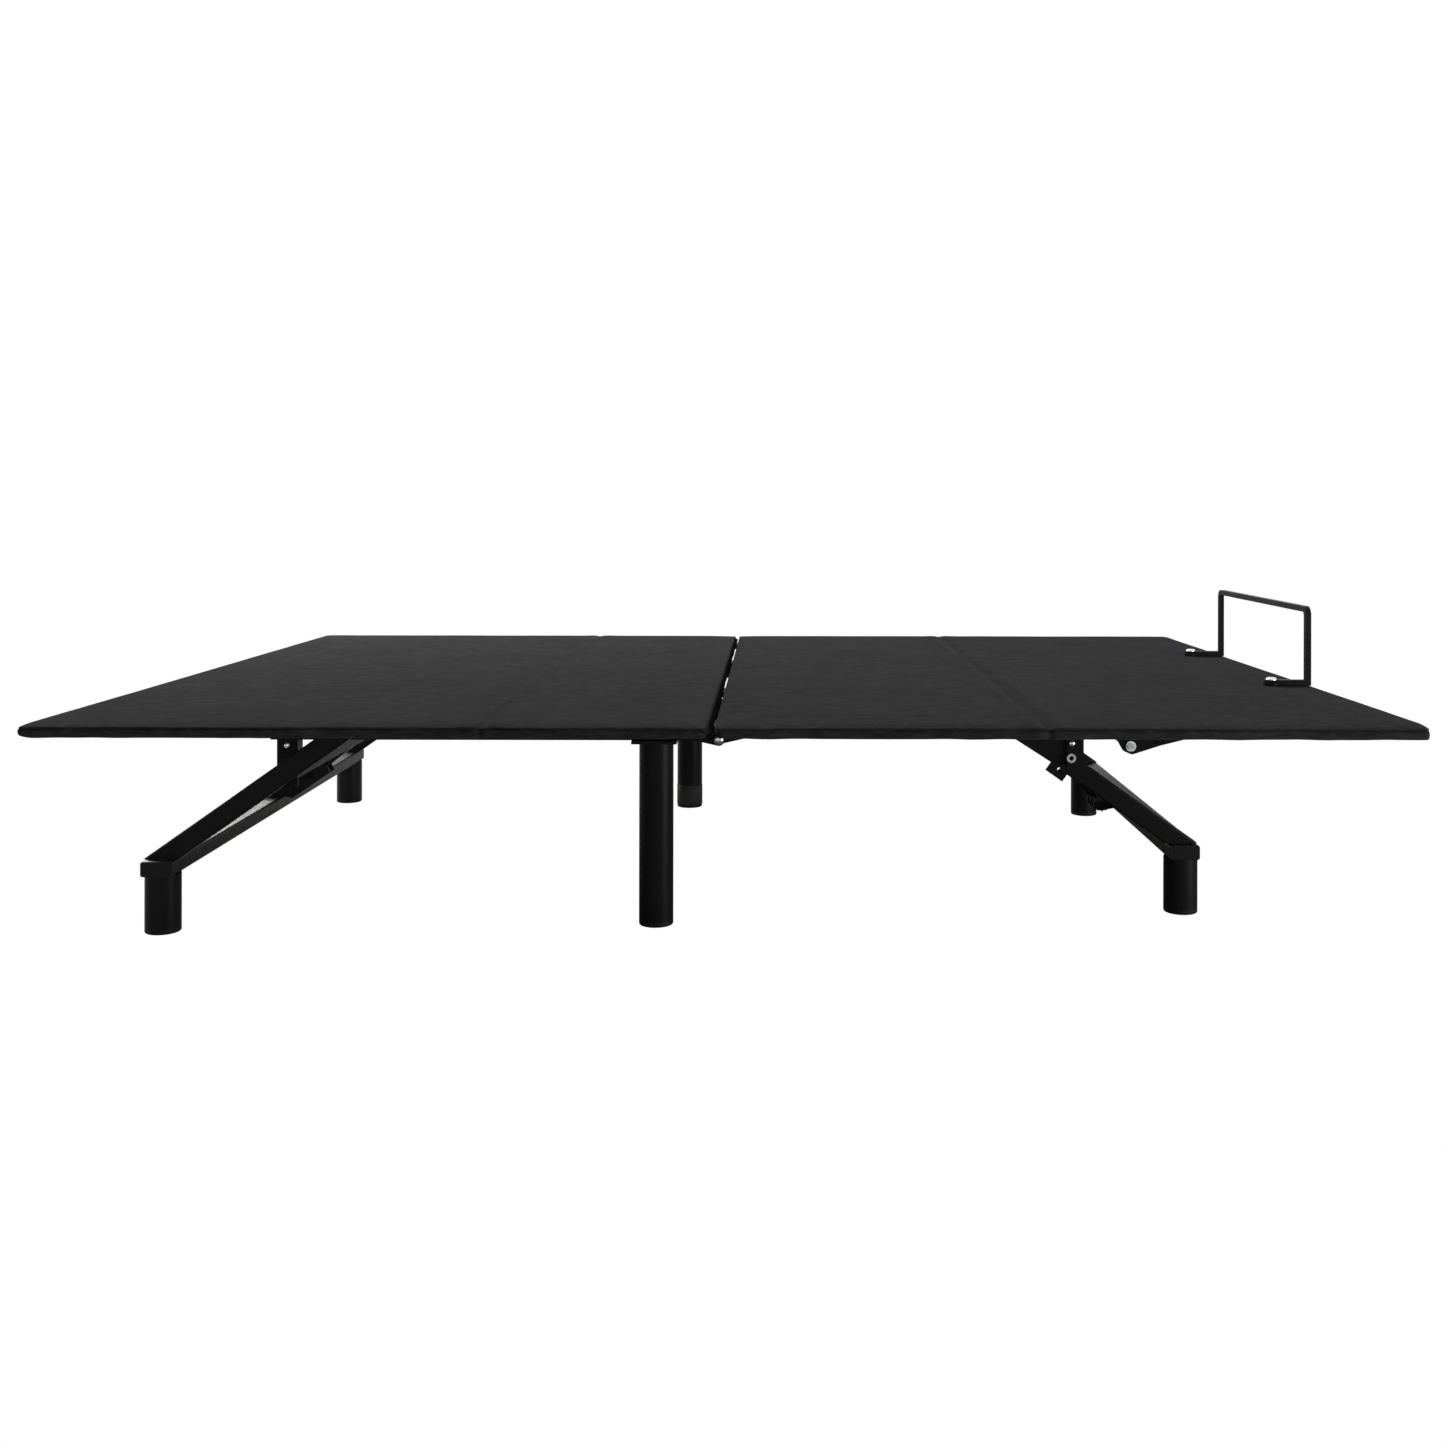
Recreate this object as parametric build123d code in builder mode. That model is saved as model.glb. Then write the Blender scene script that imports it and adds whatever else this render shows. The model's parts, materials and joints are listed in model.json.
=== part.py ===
from build123d import *
import os
from math import atan2, cos, degrees, hypot, radians, sin

# Adjustable bed base, millimetres. Origin on the floor under the middle of the deck.
# +X points to the foot end, +Y to the far side of the bed and +Z up.

# Deck
deck_length = 2020.0
deck_width = 1510.0
deck_top = 358.0
pad_thick = 6.0
board_thick = 13.0
pad_lip = 1.5
pad_lip_width = 30.0
pad_wrap = 4.0
pad_corner = 18.0
pad_edge_round = 9.0
crease_gap = 10.0
fold_gap = 13.0
head_crease_x = -347.0
fold_x = -16.5
knee_x = 466.0
board_top = deck_top - pad_thick
board_bottom = board_top - board_thick
deck_bottom = board_bottom - pad_lip

# Joint axes as (x, z)
head_axis = (head_crease_x, 351.0)
knee_axis = (knee_x, 351.0)
thigh_axis = (fold_x, 341.0)

# Side rails and cross tubes
tube_wall = 2.0
tube_corner = 4.0
rail_width = 30.0
rail_top = 331.0
rail_bottom = 297.0
head_rail_y = 487.0
foot_rail_y = 433.0
head_rail_x = (-728.0, -34.0)
foot_rail_x = (2.0, 546.0)
rail_inner_head = head_rail_y - rail_width / 2
rail_inner_foot = foot_rail_y - rail_width / 2
cross_tube_width = 30.0
cross_tube_z = (301.0, 329.0)
seat_tube_x = -318.0
centre_tube_x = -47.0
link_tube_x = 172.0
fold_bolt_z = 294.0
lug_thick = 6.0

# Leg frames
leg_diameter = 55.0
leg_wall = 2.0
glide_height = 8.0
head_leg = (-888.0, 526.0)
foot_leg = (746.0, 398.0)
centre_leg = (-116.0, 479.0)
bar_width = 50.0
bar_z = (91.0, 115.0)
bar_overhang = 29.0
cap_thick = 4.0
strut_size = 32.0
strut_setback = 17.0
strut_slope = 35.15
head_strut_point = (-709.0, 241.1)
foot_strut_end = (565.0, 241.0)
plate_thick = 4.0
frame_tube_size = 28.0
head_post_x = (-716.0, -683.0)
foot_post_x = (553.0, 581.0)
head_brace_pin = (-853.0, 129.0)
foot_brace_pin = (694.0, 108.0)

# Lift actuators, on a plane beside the middle of the bed
actuator_y = 60.0
actuator_half_width = 18.5
actuator_pin_radius = 6.0
housing_radius = 18.0
rod_radius = 9.0
motor_radius = 26.0
motor_length = 112.0
lower_pivot_angle = 93.2
upper_pivot_angle = 13.2
head_lift_radius = 120.0
thigh_lift_radius = 110.0

# Fits: what a hole is wider than its pin, and how far a cut passes through a face
running_clearance = 0.05
bolt_clearance = 0.1
cut_over = 1.0

# Foot links
link_pin = (655.0, 279.0)
link_y = 120.0
link_thick = 6.0
link_half_height = 12.0
link_play = 0.5
link_pivot_radius = 5.0
link_shaft_radius = 6.0
link_pivot = (link_pin[0] - knee_axis[0] + thigh_axis[0], link_pin[1] - knee_axis[1] + thigh_axis[1])
foot_bracket_y = 433.0

# Mattress retainer
retainer_half_width = 265.0
retainer_height = 138.0
retainer_size = 10.0
retainer_bend = 16.0
retainer_x = 1004.0
retainer_foot_x = 928.0
retainer_bolt_x = 941.0

# A primitive that stands on its place
upright = (Align.CENTER, Align.CENTER, Align.MIN)

os.makedirs("parts", exist_ok=True)


def side_plane(y):
    """The plane of a side view at depth y, drawn in X and Z."""
    return Plane(origin=(0, y, 0), x_dir=(1, 0, 0), z_dir=(0, -1, 0))


def block(x_span, y_span, z_span, mode=Mode.ADD):
    """A block between two x, two y and two z values."""
    spans = (x_span, y_span, z_span)
    with Locations(tuple((low + high) / 2 for low, high in spans)):
        Box(*(high - low for low, high in spans), mode=mode)


def pin(point, y, radius, length, mode=Mode.ADD):
    """A round bar along Y through an (x, z) point, its middle at depth y."""
    with Locations(Location((point[0], y, point[1]), (90, 0, 0))):
        Cylinder(radius, length, mode=mode)


def hole(point, y, radius, thick):
    """A round hole along Y through metal whose middle is at depth y."""
    pin(point, y, radius, thick + 2 * cut_over, Mode.SUBTRACT)


def dome_bolt(point, y_face, side, radius, height, shank_radius, shank_length):
    """A bolt along Y, its domed head standing out from a face on one side of the bed."""
    seat = Plane(origin=(point[0], side * y_face, point[1]), x_dir=(side, 0, 0), z_dir=(0, 0, 1))
    with BuildSketch(seat) as profile:
        with BuildLine():
            rim = Polyline((0, -shank_length), (shank_radius, -shank_length), (shank_radius, 0), (radius, 0),
                           (radius, 0.3 * height))
            crown = Bezier(rim @ 1, (0.9 * radius, height), (0, height))
            Line(crown @ 1, rim @ 0)
        make_face()
    revolve(profile.sketch, axis=Axis(seat.origin, (0, 1, 0)))


def plate(points, y, thick, mode=Mode.ADD):
    """A flat plate drawn in X and Z, its middle at depth y."""
    with BuildSketch(side_plane(y)) as outline:
        with BuildLine():
            Polyline(*points, close=True)
        make_face()
    extrude(outline.sketch, amount=thick / 2, both=True, mode=mode)


def hull_plate(circles, y, thick, mode=Mode.ADD):
    """A flat plate that wraps round circles given as (x, z, radius)."""
    with BuildSketch(side_plane(y)) as outline:
        for x, z, radius in circles:
            with Locations((x, z)):
                Circle(radius)
        make_hull()
    extrude(outline.sketch, amount=thick / 2, both=True, mode=mode)


def box_tube(plane, width, height, length):
    """A rectangular tube with rounded corners that leaves a plane along its normal."""
    with BuildSketch(plane) as section:
        RectangleRounded(width, height, tube_corner)
        inner = (width - 2 * tube_wall, height - 2 * tube_wall, tube_corner - tube_wall)
        RectangleRounded(*inner, mode=Mode.SUBTRACT)
    extrude(section.sketch, amount=length)


def tube_along_x(x_span, y, z_span, width):
    """A rectangular tube along X."""
    middle = (z_span[0] + z_span[1]) / 2
    plane = Plane(origin=(x_span[0], y, middle), x_dir=(0, 1, 0), z_dir=(1, 0, 0))
    box_tube(plane, width, z_span[1] - z_span[0], x_span[1] - x_span[0])


def tube_along_y(x, half_length, z_span, width):
    """A rectangular tube along Y, the same length on both sides of the middle."""
    middle = (z_span[0] + z_span[1]) / 2
    plane = Plane(origin=(x, -half_length, middle), x_dir=(1, 0, 0), z_dir=(0, 1, 0))
    box_tube(plane, width, z_span[1] - z_span[0], 2 * half_length)


def along(start, angle, distance, aside=0.0):
    """The point at a distance along a line in X and Z, and an offset to its left."""
    turn = radians(angle)
    return (start[0] + distance * cos(turn) - aside * sin(turn),
            start[1] + distance * sin(turn) + aside * cos(turn))


def axis_plane(point, y, angle):
    """A plane whose normal runs along a line in X and Z at an angle above +X."""
    turn = radians(angle)
    return Plane(origin=(point[0], y, point[1]), x_dir=(0, 1, 0), z_dir=(cos(turn), 0, sin(turn)))


def save(builder, name):
    """Labels a finished piece and writes it under its own name."""
    builder.part.label = name
    export_step(builder.part, f"parts/{name}.step")


# Deck panels: a board and the upholstery that wraps it, open where the cover crosses a crease
half_width = deck_width / 2
half_length = deck_length / 2
panels = {
    "head": (-half_length, head_crease_x - crease_gap / 2, True, False),
    "seat": (head_crease_x + crease_gap / 2, fold_x - fold_gap / 2, False, True),
    "thigh": (fold_x + fold_gap / 2, knee_x - crease_gap / 2, True, False),
    "foot": (knee_x + crease_gap / 2, half_length, False, True),
}
crease_hinge_ys = (-560.0, -200.0, 200.0, 560.0)
crease_leaf = (38.0, 60.0, 2.0)
crease_knuckle_radius = 4.5
crease_pin_radius = 2.5
leaf_half = crease_leaf[1] / 2
leaf_pocket = 0.5

for panel, (x_low, x_high, wraps_low, wraps_high) in panels.items():
    board_low = x_low + pad_wrap * wraps_low
    board_high = x_high - pad_wrap * wraps_high
    board_half = half_width - pad_wrap
    with BuildPart() as board:
        block((board_low, board_high), (-board_half, board_half), (board_bottom, board_top))
        outer_corners = board.edges().filter_by(Axis.Z).group_by(Axis.X)[0 if wraps_low else -1]
        fillet(outer_corners, pad_corner - pad_wrap)
    save(board, f"{panel}_board")

    with BuildPart() as pad:
        block((x_low, x_high), (-half_width, half_width), (deck_bottom, deck_top))
        outer_corners = pad.edges().filter_by(Axis.Z).group_by(Axis.X)[0 if wraps_low else -1]
        fillet(outer_corners, pad_corner)
        crease_x = x_high if wraps_low else x_low
        top_edges = pad.faces().sort_by(Axis.Z)[-1].edges()
        fillet([e for e in top_edges if abs(e.center().X - crease_x) > 1], pad_edge_round)
        block((board_low, board_high), (-board_half, board_half), (board_bottom, board_top), Mode.SUBTRACT)
        lip_half = board_half - pad_lip_width
        block((board_low + pad_lip_width, board_high - pad_lip_width), (-lip_half, lip_half),
              (deck_bottom - cut_over, board_bottom + cut_over), Mode.SUBTRACT)
        leaf_reach = crease_leaf[0] + leaf_pocket
        pocket_z = (board_top - cut_over, board_top + crease_leaf[2] + leaf_pocket)
        leaf_side = -1 if wraps_low else 1
        crease_middle = crease_x + leaf_side * -crease_gap / 2
        leaf_span = sorted((crease_middle, crease_middle + leaf_side * leaf_reach))
        for y in crease_hinge_ys:
            pocket_y = (y - leaf_half - leaf_pocket, y + leaf_half + leaf_pocket)
            block(leaf_span, pocket_y, pocket_z, Mode.SUBTRACT)
    save(pad, f"{panel}_pad")

# Crease hinges: leaves on the boards, with three knuckles round a loose pin
knuckle_edge = 10.0
knuckle_gap = 0.4
leaf_start = 5.2
web_reach = 6.0
outer_knuckles = ((-leaf_half, -knuckle_edge - knuckle_gap), (knuckle_edge + knuckle_gap, leaf_half))
middle_knuckle = ((-knuckle_edge, knuckle_edge),)
for hinge, axis, outer_name, inner_name in (
        ("head_hinge", head_axis, "head_leaves", "seat_leaves"),
        ("knee_hinge", knee_axis, "thigh_leaves", "foot_leaves")):
    for leaves, side, knuckle_spans in (
            (outer_name, -1, outer_knuckles), (inner_name, 1, middle_knuckle)):
        leaf_z = (board_top, board_top + crease_leaf[2])
        with BuildPart() as leaf:
            for y in crease_hinge_ys:
                plate_x = sorted((axis[0] + side * leaf_start, axis[0] + side * crease_leaf[0]))
                web_x = sorted((axis[0], axis[0] + side * web_reach))
                block(plate_x, (y - leaf_half, y + leaf_half), leaf_z)
                for low, high in knuckle_spans:
                    block(web_x, (y + low, y + high), leaf_z)
                    pin(axis, y + (low + high) / 2, crease_knuckle_radius, high - low)
                hole(axis, y, crease_pin_radius + running_clearance, crease_leaf[1])
        save(leaf, f"{hinge}_{leaves}")
    with BuildPart() as hinge_pins:
        for y in crease_hinge_ys:
            pin(axis, y, crease_pin_radius, crease_leaf[1])
    save(hinge_pins, f"{hinge}_pins")

# Hinges of the thigh panel, under the deck with their knuckles in the fold gap
fold_hinge_ys = (-650.0, -240.0, 240.0, 650.0)
fold_knuckle_radius = 5.0
fold_pin_radius = 2.5
fold_leaf_reach = 46.0
fold_leaf_start = 5.5
fold_leaf_thick = 2.5
fold_leaf_z = (deck_bottom - fold_leaf_thick, deck_bottom)
for leaves, side, knuckle_spans in (
        ("seat_leaves", -1, outer_knuckles), ("thigh_leaves", 1, middle_knuckle)):
    with BuildPart() as leaf:
        for y in fold_hinge_ys:
            plate_x = sorted((fold_x + side * fold_leaf_start, fold_x + side * fold_leaf_reach))
            web_x = sorted((fold_x, fold_x + side * web_reach))
            block(plate_x, (y - leaf_half, y + leaf_half), fold_leaf_z)
            for low, high in knuckle_spans:
                block(web_x, (y + low, y + high), (thigh_axis[1] - fold_knuckle_radius, deck_bottom))
                pin(thigh_axis, y + (low + high) / 2, fold_knuckle_radius, high - low)
            hole(thigh_axis, y, fold_pin_radius + running_clearance, crease_leaf[1])
    save(leaf, f"fold_hinge_{leaves}")
with BuildPart() as fold_hinge_pins:
    for y in fold_hinge_ys:
        pin(thigh_axis, y, fold_pin_radius, crease_leaf[1])
save(fold_hinge_pins, "fold_hinge_pins")

# Side rails: box tubes, each with a lug at the fold
fold_bolt = (fold_x, fold_bolt_z)
fold_bolt_radius = 5.0
fold_bolt_head = (8.5, 7.0)
fold_spacer_radius = 9.0
lug_radius = 10.0
lug_root_radius = 8.0
lug_root_z = (rail_bottom + 10.0, rail_top - 10.0)
head_lug_root_x = -84.0
foot_lug_root_x = 50.0
head_lug_y = rail_inner_head - lug_thick / 2
foot_lug_y = foot_rail_y + rail_width / 2 + lug_thick / 2


def rail_lug(root_x):
    """The circles of a lug from the fold bolt back to a rail."""
    return ((*fold_bolt, lug_radius), *((root_x, z, lug_root_radius) for z in lug_root_z))


for side, side_name in ((-1, "right"), (1, "left")):
    with BuildPart() as head_rail:
        tube_along_x(head_rail_x, side * head_rail_y, (rail_bottom, rail_top), rail_width)
        hull_plate(rail_lug(head_lug_root_x), side * head_lug_y, lug_thick)
        hole(fold_bolt, side * head_lug_y, fold_bolt_radius + bolt_clearance, lug_thick)
    save(head_rail, f"head_rail_{side_name}")

    with BuildPart() as foot_rail:
        tube_along_x(foot_rail_x, side * foot_rail_y, (rail_bottom, rail_top), rail_width)
        hull_plate(rail_lug(foot_lug_root_x), side * foot_lug_y, lug_thick)
        hole(fold_bolt, side * foot_lug_y, fold_bolt_radius + bolt_clearance, lug_thick)
    save(foot_rail, f"foot_rail_{side_name}")

# Fold bolts: bright domed heads outside, a spacer between the lugs and a nut inside
lug_gap = (foot_lug_y + lug_thick / 2, head_lug_y - lug_thick / 2)
with BuildPart() as fold_bolts:
    for side in (-1, 1):
        outer_face = head_lug_y + lug_thick / 2
        inner_face = foot_lug_y - lug_thick / 2
        dome_bolt(fold_bolt, outer_face, side, *fold_bolt_head, fold_bolt_radius, outer_face - inner_face)
        pin(fold_bolt, side * sum(lug_gap) / 2, fold_spacer_radius, lug_gap[1] - lug_gap[0])
save(fold_bolts, "fold_bolts")

# Cross tubes between the rails
with BuildPart() as seat_tube:
    tube_along_y(seat_tube_x, rail_inner_head, cross_tube_z, cross_tube_width)
save(seat_tube, "seat_cross_tube")

with BuildPart() as centre_tube:
    tube_along_y(centre_tube_x, rail_inner_head - lug_thick, cross_tube_z, cross_tube_width)
save(centre_tube, "centre_cross_tube")

root_radius = 1.0
link_lug_radius = 11.0
link_lug_root_half = 9.0
lug_offset = link_thick / 2 + link_play + plate_thick / 2
with BuildPart() as link_tube:
    tube_along_y(link_tube_x, rail_inner_foot, cross_tube_z, cross_tube_width)
    for link_side in (-1, 1):
        for offset_y in (-lug_offset, lug_offset):
            y = link_side * link_y + offset_y
            roots = ((link_tube_x + reach, cross_tube_z[0], root_radius)
                     for reach in (-link_lug_root_half, link_lug_root_half))
            hull_plate(((*link_pivot, link_lug_radius), *roots), y, plate_thick)
            hole(link_pivot, y, link_pivot_radius + running_clearance, plate_thick)
save(link_tube, "link_cross_tube")

# Packers under the seat board, and rubber rests for the panels that lift
rest_gap = 0.4
rest_places = ((-640.0, head_rail_y), (-430.0, head_rail_y), (150.0, foot_rail_y), (400.0, foot_rail_y),
               (515.0, foot_rail_y))
rest_radii = (11.0, 8.5)
packer_places = (-275.0, -150.0)
packer_size = (40.0, 24.0)
with BuildPart() as rest_pads:
    for side in (-1, 1):
        for x in packer_places:
            with Locations((x, side * head_rail_y, rail_top)):
                Box(*packer_size, board_bottom - rail_top, align=upright)
        for x, y in rest_places:
            with Locations((x, side * y, rail_top)):
                Cone(*rest_radii, board_bottom - rail_top - rest_gap,
                     align=upright)
save(rest_pads, "rest_pads")

# Leg frames: a cross bar with end caps, two sloping struts, a tube between them and a centre brace
cheek_offset = 14.0
cheek_slot_half = 20.0
brace_pin_radius = 6.0
head_cheek = ((-906.0, bar_z[1]), (-864.0, bar_z[1]), (-846.0, 111.0), (-774.0, 161.0), (-788.0, 186.0),
              (-872.0, 143.0), (-906.0, 130.0))
head_cheek_window = ((-829.0, 147.0), (-808.0, 150.0), (-808.0, 164.0))
foot_cheek = ((*foot_brace_pin, 18.0), (722.0, bar_z[0] + 8.0, 4.0), (722.0, bar_z[1] - 8.0, 4.0))
for end, (leg_x, leg_y), cheek_pin in (
        ("head", head_leg, head_brace_pin), ("foot", foot_leg, foot_brace_pin)):
    bar_half = leg_y + bar_overhang - cap_thick
    with BuildPart() as bar:
        tube_along_y(leg_x, bar_half, bar_z, bar_width)
        for cheek_y in (-cheek_offset, cheek_offset):
            if end == "head":
                plate(head_cheek, cheek_y, plate_thick)
                plate(head_cheek_window, cheek_y, plate_thick + 2 * cut_over, Mode.SUBTRACT)
            else:
                hull_plate(foot_cheek, cheek_y, plate_thick)
                block((leg_x - bar_width / 2 + tube_wall / 2, leg_x), (-cheek_slot_half, cheek_slot_half),
                      (bar_z[0] + tube_wall, bar_z[1] - tube_wall), Mode.SUBTRACT)
            hole(cheek_pin, cheek_y, brace_pin_radius + bolt_clearance, plate_thick)
    save(bar, f"{end}_leg_bar")

spigot_play = 0.5
spigot_corner = 1.5
spigot_length = 14.0
cap_round = 1.2
bar_height = bar_z[1] - bar_z[0]
spigot_inset = 2 * (tube_wall + spigot_play)
with BuildPart() as bar_caps:
    for leg_x, leg_y in (head_leg, foot_leg):
        for side in (-1, 1):
            bar_end = leg_y + bar_overhang
            middle = (bar_z[0] + bar_z[1]) / 2
            plane = Plane(origin=(leg_x, side * (bar_end - cap_thick), middle), x_dir=(1, 0, 0),
                          z_dir=(0, side, 0))
            with BuildSketch(plane) as face:
                RectangleRounded(bar_width, bar_height, tube_corner)
            extrude(face.sketch, amount=cap_thick)
            with BuildSketch(plane) as spigot:
                RectangleRounded(bar_width - spigot_inset, bar_height - spigot_inset, spigot_corner)
            extrude(spigot.sketch, amount=-spigot_length)
    outer = bar_caps.faces().filter_by(Axis.Y).group_by(SortBy.AREA)[-1]
    fillet(outer.edges(), cap_round)
save(bar_caps, "bar_end_caps")

head_strut_y = head_leg[1] + bar_overhang - strut_setback - strut_size / 2
foot_strut_y = foot_leg[1] + bar_overhang - strut_setback - strut_size / 2
strut_outer_foot = foot_strut_y + strut_size / 2
strut_inner_head = head_strut_y - strut_size / 2
strut_run = 260.0
head_strut_length = 460.0
with BuildPart() as head_struts:
    lower = along(head_strut_point, strut_slope, -strut_run)
    for side in (-1, 1):
        box_tube(axis_plane(lower, side * head_strut_y, strut_slope), strut_size, strut_size,
                 head_strut_length)
    split(bisect_by=Plane.XY.offset(bar_z[1]), keep=Keep.TOP)
    split(bisect_by=Plane.XY.offset(rail_top), keep=Keep.BOTTOM)
save(head_struts, "head_struts")

tab_hole_radius = 4.2
pivot_bolt_radius = 5.0
tab_hole = along(foot_strut_end, -strut_slope, -15.4, -16.4)
pivot_bolt = along(foot_strut_end, -strut_slope, -13.6, 10.6)
tab_outline = ((-34, -30), (-1, -30), (-1, -16), (24, -16), (24, 14), (2, 22), (-24, 22), (-34, 10))
tab_y = strut_outer_foot + plate_thick / 2
with BuildPart() as foot_struts:
    for side in (-1, 1):
        upper = axis_plane(foot_strut_end, side * foot_strut_y, -strut_slope)
        box_tube(upper, strut_size, strut_size, strut_run)
    split(bisect_by=Plane.XY.offset(bar_z[1]), keep=Keep.TOP)
    for side in (-1, 1):
        plate([along(foot_strut_end, -strut_slope, u, v) for u, v in tab_outline], side * tab_y, plate_thick)
        for point, radius in ((tab_hole, tab_hole_radius), (pivot_bolt, pivot_bolt_radius + bolt_clearance)):
            hole(point, side * tab_y, radius, plate_thick)
save(foot_struts, "foot_struts")

# Tubes between the struts, and the centre braces from the cross bars up to them
head_tube_centre = along(head_strut_point, strut_slope, 11.0)
foot_tube_centre = along(foot_strut_end, -strut_slope, 22.0)
frame_half = frame_tube_size / 2
brace_half = 11.0
brace_radius = 9.5
brace_heel = 8.0
brace_eye_radii = (12.0, 9.0)
brace_eye_length = 14.0
brace_shaft_start = 18.0
brace_pin_head = (9.0, 4.0)
brace_pin_half = cheek_offset + plate_thick / 2 + brace_pin_head[1]
for end, centre, half_span in (("head", head_tube_centre, rail_inner_head + rail_width),
                               ("foot", foot_tube_centre, foot_strut_y - strut_size / 2)):
    with BuildPart() as frame_tube:
        tube_along_y(centre[0], half_span, (centre[1] - frame_half, centre[1] + frame_half), frame_tube_size)
    save(frame_tube, f"{end}_frame_tube")

for end, centre, foot_pin in (("head", head_tube_centre, head_brace_pin),
                              ("foot", foot_tube_centre, foot_brace_pin)):
    rise = degrees(atan2(centre[1] - foot_pin[1], centre[0] - foot_pin[0]))
    reach = hypot(centre[0] - foot_pin[0], centre[1] - foot_pin[1])
    with BuildPart() as brace:
        if end == "head":
            heel = axis_plane(along(foot_pin, rise, -brace_heel), 0, rise)
            box_tube(heel, 2 * brace_half, 2 * brace_half, reach + brace_heel)
        else:
            neck = along(foot_pin, rise, brace_eye_length)
            hull_plate(((*foot_pin, brace_eye_radii[0]), (*neck, brace_eye_radii[1])), 0, 2 * brace_half)
            with BuildSketch(axis_plane(along(foot_pin, rise, brace_shaft_start), 0, rise)) as section:
                Circle(brace_radius)
            extrude(section.sketch, amount=reach - brace_shaft_start)
        with Locations((centre[0], 0, centre[1])):
            Box(frame_tube_size, 2 * (brace_half + cut_over), frame_tube_size, mode=Mode.SUBTRACT)
        pin(foot_pin, 0, brace_pin_radius, 2 * brace_pin_half)
        for side in (-1, 1):
            pin(foot_pin, side * (brace_pin_half - brace_pin_head[1] / 2), *brace_pin_head)
    save(brace, f"{end}_brace")

knob_radius = 14.5
knob_depth = 14.0
knob_round = 1.0
grip_count = 12
grip_radius = 2.2
grip_inset = 0.3
with BuildPart() as lock_knob:
    knob_plane = Plane(origin=(foot_brace_pin[0], -brace_pin_half, foot_brace_pin[1]), x_dir=(1, 0, 0),
                       z_dir=(0, -1, 0))
    with BuildSketch(knob_plane) as knob_outline:
        Circle(knob_radius)
        with PolarLocations(knob_radius - grip_inset, grip_count):
            Circle(grip_radius)
    extrude(knob_outline.sketch, amount=knob_depth)
    fillet(lock_knob.faces().sort_by(Axis.Y)[0].edges(), knob_round)
save(lock_knob, "lock_knob")

# Posts that tie the struts to the rails, with their bolts
post_face_head = strut_inner_head
head_post_bolt = (-699.0, 289.0)
post_bolt_radius = 4.0
post_bolt_head = (5.5, 4.5)
head_post_foot_z = 222.0
flange_width = 26.0
flange_thick = 3.0
flange_foot_z = 264.0
with BuildPart() as head_posts:
    for side in (-1, 1):
        block(head_post_x, sorted((side * (post_face_head - plate_thick), side * post_face_head)),
              (head_post_foot_z, rail_top))
        flange_y = sorted((side * (post_face_head - flange_width), side * post_face_head))
        block((head_post_x[1] - flange_thick, head_post_x[1]), flange_y, (flange_foot_z, rail_bottom))
        hole_radius = post_bolt_radius + bolt_clearance
        hole(head_post_bolt, side * (post_face_head - plate_thick / 2), hole_radius, plate_thick)
save(head_posts, "head_posts")

gusset_y = strut_outer_foot + 1.5 * plate_thick
post_y = gusset_y + plate_thick
post_face = post_y + plate_thick / 2
foot_post_bolt = (561.0, 281.0)
foot_post_foot_z = 245.0
gusset_toe = (527.5, 250.0)
gusset_end_x = 430.0
gusset_bend = ((456.0, rail_bottom), (472.0, 285.5))
with BuildPart() as foot_posts:
    for side in (-1, 1):
        with BuildSketch(side_plane(side * gusset_y)) as gusset:
            with BuildLine():
                web = Polyline(gusset_toe, (foot_post_x[0], gusset_toe[1]),
                               (foot_post_x[0], foot_post_foot_z), (foot_post_x[1], foot_post_foot_z),
                               (foot_post_x[1], rail_top),
                               (gusset_end_x, rail_top), (gusset_end_x, rail_bottom))
                curve = Bezier(web @ 1, *gusset_bend)
                Line(curve @ 1, web @ 0)
            make_face()
        extrude(gusset.sketch, amount=plate_thick / 2, both=True)
        block(foot_post_x, sorted((side * (post_y - plate_thick / 2), side * post_face)),
              (foot_post_foot_z, rail_top))
        for bolt, radius in ((foot_post_bolt, post_bolt_radius), (pivot_bolt, pivot_bolt_radius)):
            hole(bolt, side * (gusset_y + plate_thick / 2), radius + bolt_clearance, 2 * plate_thick)
save(foot_posts, "foot_posts")

# Frame bolts: domed heads, and a ring head with a deep socket at the foot strut
ring_head = (7.4, 5.0)
ring_socket = (3.7, 4.0)
with BuildPart() as frame_bolts:
    for side in (-1, 1):
        dome_bolt(head_post_bolt, post_face_head, side, *post_bolt_head, post_bolt_radius, plate_thick)
        dome_bolt(foot_post_bolt, post_face, side, *post_bolt_head, post_bolt_radius, 2 * plate_thick)
        pin(pivot_bolt, side * (post_face + ring_head[1] / 2), *ring_head)
        pin(pivot_bolt, side * (post_face - 1.5 * plate_thick), pivot_bolt_radius, 3 * plate_thick)
        socket_middle = post_face + ring_head[1] - ring_socket[1] / 2
        pin(pivot_bolt, side * socket_middle, *ring_socket, Mode.SUBTRACT)
save(frame_bolts, "frame_bolts")

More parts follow.
